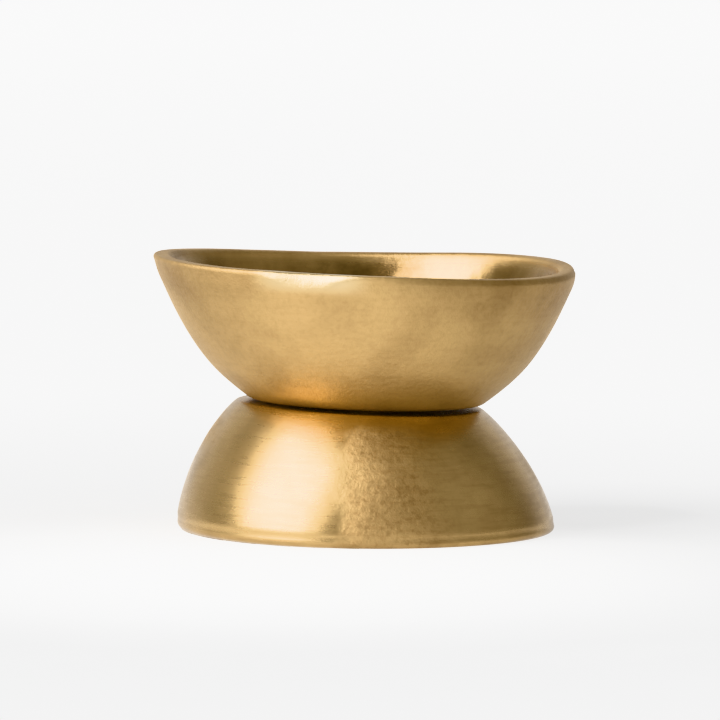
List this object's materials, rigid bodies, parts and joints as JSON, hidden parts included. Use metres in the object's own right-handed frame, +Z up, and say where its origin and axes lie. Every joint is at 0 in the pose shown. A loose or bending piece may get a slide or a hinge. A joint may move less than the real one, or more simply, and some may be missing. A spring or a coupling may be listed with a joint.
{
  "type": "finger cymbals",
  "caption": "Pair of thick cup-shaped brass finger cymbals, stored crown to crown, the wider cup mouth up on the other.",
  "frame": {"origin": "centre of the bounding box's bottom, on the plane that the lower cup's rim stands on", "axes": "+Z up, along the direction that the upper cup lifts off; -Y is the front and +X is its right"},
  "size_m": [0.0648, 0.0648, 0.0421],
  "materials": {
    "upper_brass": "satin, hand polished, lightly tarnished inside",
    "lower_brass": "satin, pitted, with a brown tarnish"
  },
  "bodies": {
    "lower": {"lower_cymbal": "lower_brass"},
    "upper": {"upper_cymbal": "upper_brass"}
  },
  "joints": [
    {"name": "upper_lift", "type": "slide", "parent": "lower", "child": "upper", "axis": [0, 0, 1], "range_m": [0, 0.035]}
  ]
}
